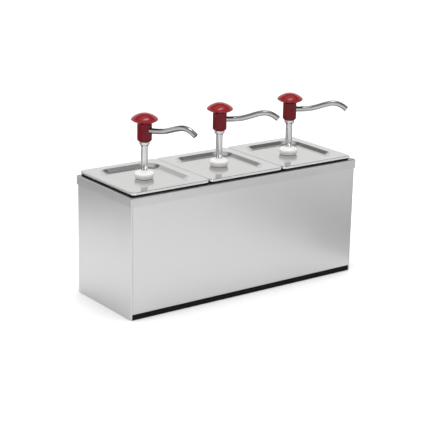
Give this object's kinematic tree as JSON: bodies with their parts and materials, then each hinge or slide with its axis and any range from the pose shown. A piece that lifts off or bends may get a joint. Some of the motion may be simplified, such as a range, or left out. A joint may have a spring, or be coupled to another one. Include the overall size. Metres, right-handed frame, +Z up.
{
  "type": "condiment pump dispenser",
  "caption": "Countertop stainless steel case of deep lidded pans, each with a plunger pump: red knob, polished stem and a swivelling bent spout.",
  "frame": {"origin": "middle of the case's underside, on the face it stands on", "axes": "+X along the row of pumps, -Y towards the case's front, +Z up"},
  "size_m": [0.5, 0.1911, 0.34],
  "materials": {
    "brushed_steel": "satin, brushed",
    "lid_steel": "bright, half polished",
    "polished_steel": "mirror polished",
    "red_plastic": "gloss",
    "white_plastic": "satin",
    "black_plastic": "matt",
    "pale_rubber": "matt",
    "black_rubber": "matt"
  },
  "bodies": {
    "case": {"top_frame": "brushed_steel", "crossbar_left": "brushed_steel", "crossbar_right": "brushed_steel", "end_panel_left": "brushed_steel", "end_panel_right": "brushed_steel", "front_panel": "brushed_steel", "rear_panel": "brushed_steel", "floor_plate": "brushed_steel", "base_tray": "black_plastic"},
    "left_pan_body": {"pan_left": "brushed_steel"},
    "left_lid_body": {"lid_left": "lid_steel", "lock_nut_left": "white_plastic", "lid_seal_left": "black_rubber", "cylinder_left": "white_plastic", "inlet_cap_left": "white_plastic", "suction_tube_left": "white_plastic", "return_spring_left": "polished_steel"},
    "left_inlet_ball_body": {"inlet_ball_left": "polished_steel"},
    "left_piston_body": {"piston_left": "white_plastic", "piston_seal_left": "pale_rubber"},
    "left_outlet_ball_body": {"outlet_ball_left": "polished_steel"},
    "left_head_body": {"stem_left": "polished_steel", "collar_left": "polished_steel", "head_left": "red_plastic", "knob_left": "red_plastic", "spout_left": "polished_steel"},
    "middle_pan_body": {"pan_middle": "brushed_steel"},
    "middle_lid_body": {"lid_middle": "lid_steel", "lock_nut_middle": "white_plastic", "lid_seal_middle": "black_rubber", "cylinder_middle": "white_plastic", "inlet_cap_middle": "white_plastic", "suction_tube_middle": "white_plastic", "return_spring_middle": "polished_steel"},
    "middle_inlet_ball_body": {"inlet_ball_middle": "polished_steel"},
    "middle_piston_body": {"piston_middle": "white_plastic", "piston_seal_middle": "pale_rubber"},
    "middle_outlet_ball_body": {"outlet_ball_middle": "polished_steel"},
    "middle_head_body": {"stem_middle": "polished_steel", "collar_middle": "polished_steel", "head_middle": "red_plastic", "knob_middle": "red_plastic", "spout_middle": "polished_steel"},
    "right_pan_body": {"pan_right": "brushed_steel"},
    "right_lid_body": {"lid_right": "lid_steel", "lock_nut_right": "white_plastic", "lid_seal_right": "black_rubber", "cylinder_right": "white_plastic", "inlet_cap_right": "white_plastic", "suction_tube_right": "white_plastic", "return_spring_right": "polished_steel"},
    "right_inlet_ball_body": {"inlet_ball_right": "polished_steel"},
    "right_piston_body": {"piston_right": "white_plastic", "piston_seal_right": "pale_rubber"},
    "right_outlet_ball_body": {"outlet_ball_right": "polished_steel"},
    "right_head_body": {"stem_right": "polished_steel", "collar_right": "polished_steel", "head_right": "red_plastic", "knob_right": "red_plastic", "spout_right": "polished_steel"}
  },
  "joints": [
    {"name": "left_pan_lift", "type": "slide", "parent": "case", "child": "left_pan_body", "axis": [0, 0, 1], "range_m": [0, 0.215]},
    {"name": "left_lid_lift", "type": "slide", "parent": "left_pan_body", "child": "left_lid_body", "axis": [0, 0, 1], "range_m": [0, 0.2]},
    {"name": "left_inlet_ball_lift", "type": "slide", "parent": "left_lid_body", "child": "left_inlet_ball_body", "axis": [0, 0, 1], "range_m": [0, 0.004]},
    {"name": "left_stroke", "type": "slide", "parent": "left_lid_body", "child": "left_piston_body", "axis": [0, 0, -1], "range_m": [0, 0.042], "stiffness_N_per_m": 300, "springref_m": -0.02, "deforming": ["return_spring_left"]},
    {"name": "left_outlet_ball_lift", "type": "slide", "parent": "left_piston_body", "child": "left_outlet_ball_body", "axis": [0, 0, 1], "range_m": [0, 0.004]},
    {"name": "left_swivel", "type": "hinge", "parent": "left_piston_body", "child": "left_head_body", "pos_m": [-0.165, 0, 0.3], "axis": [0, 0, 1], "continuous": true},
    {"name": "middle_pan_lift", "type": "slide", "parent": "case", "child": "middle_pan_body", "axis": [0, 0, 1], "range_m": [0, 0.215]},
    {"name": "middle_lid_lift", "type": "slide", "parent": "middle_pan_body", "child": "middle_lid_body", "axis": [0, 0, 1], "range_m": [0, 0.2]},
    {"name": "middle_inlet_ball_lift", "type": "slide", "parent": "middle_lid_body", "child": "middle_inlet_ball_body", "axis": [0, 0, 1], "range_m": [0, 0.004]},
    {"name": "middle_stroke", "type": "slide", "parent": "middle_lid_body", "child": "middle_piston_body", "axis": [0, 0, -1], "range_m": [0, 0.042], "stiffness_N_per_m": 300, "springref_m": -0.02, "deforming": ["return_spring_middle"]},
    {"name": "middle_outlet_ball_lift", "type": "slide", "parent": "middle_piston_body", "child": "middle_outlet_ball_body", "axis": [0, 0, 1], "range_m": [0, 0.004]},
    {"name": "middle_swivel", "type": "hinge", "parent": "middle_piston_body", "child": "middle_head_body", "pos_m": [-0.003, 0, 0.3], "axis": [0, 0, 1], "continuous": true},
    {"name": "right_pan_lift", "type": "slide", "parent": "case", "child": "right_pan_body", "axis": [0, 0, 1], "range_m": [0, 0.215]},
    {"name": "right_lid_lift", "type": "slide", "parent": "right_pan_body", "child": "right_lid_body", "axis": [0, 0, 1], "range_m": [0, 0.2]},
    {"name": "right_inlet_ball_lift", "type": "slide", "parent": "right_lid_body", "child": "right_inlet_ball_body", "axis": [0, 0, 1], "range_m": [0, 0.004]},
    {"name": "right_stroke", "type": "slide", "parent": "right_lid_body", "child": "right_piston_body", "axis": [0, 0, -1], "range_m": [0, 0.042], "stiffness_N_per_m": 300, "springref_m": -0.02, "deforming": ["return_spring_right"]},
    {"name": "right_outlet_ball_lift", "type": "slide", "parent": "right_piston_body", "child": "right_outlet_ball_body", "axis": [0, 0, 1], "range_m": [0, 0.004]},
    {"name": "right_swivel", "type": "hinge", "parent": "right_piston_body", "child": "right_head_body", "pos_m": [0.159, 0, 0.3], "axis": [0, 0, 1], "continuous": true}
  ]
}
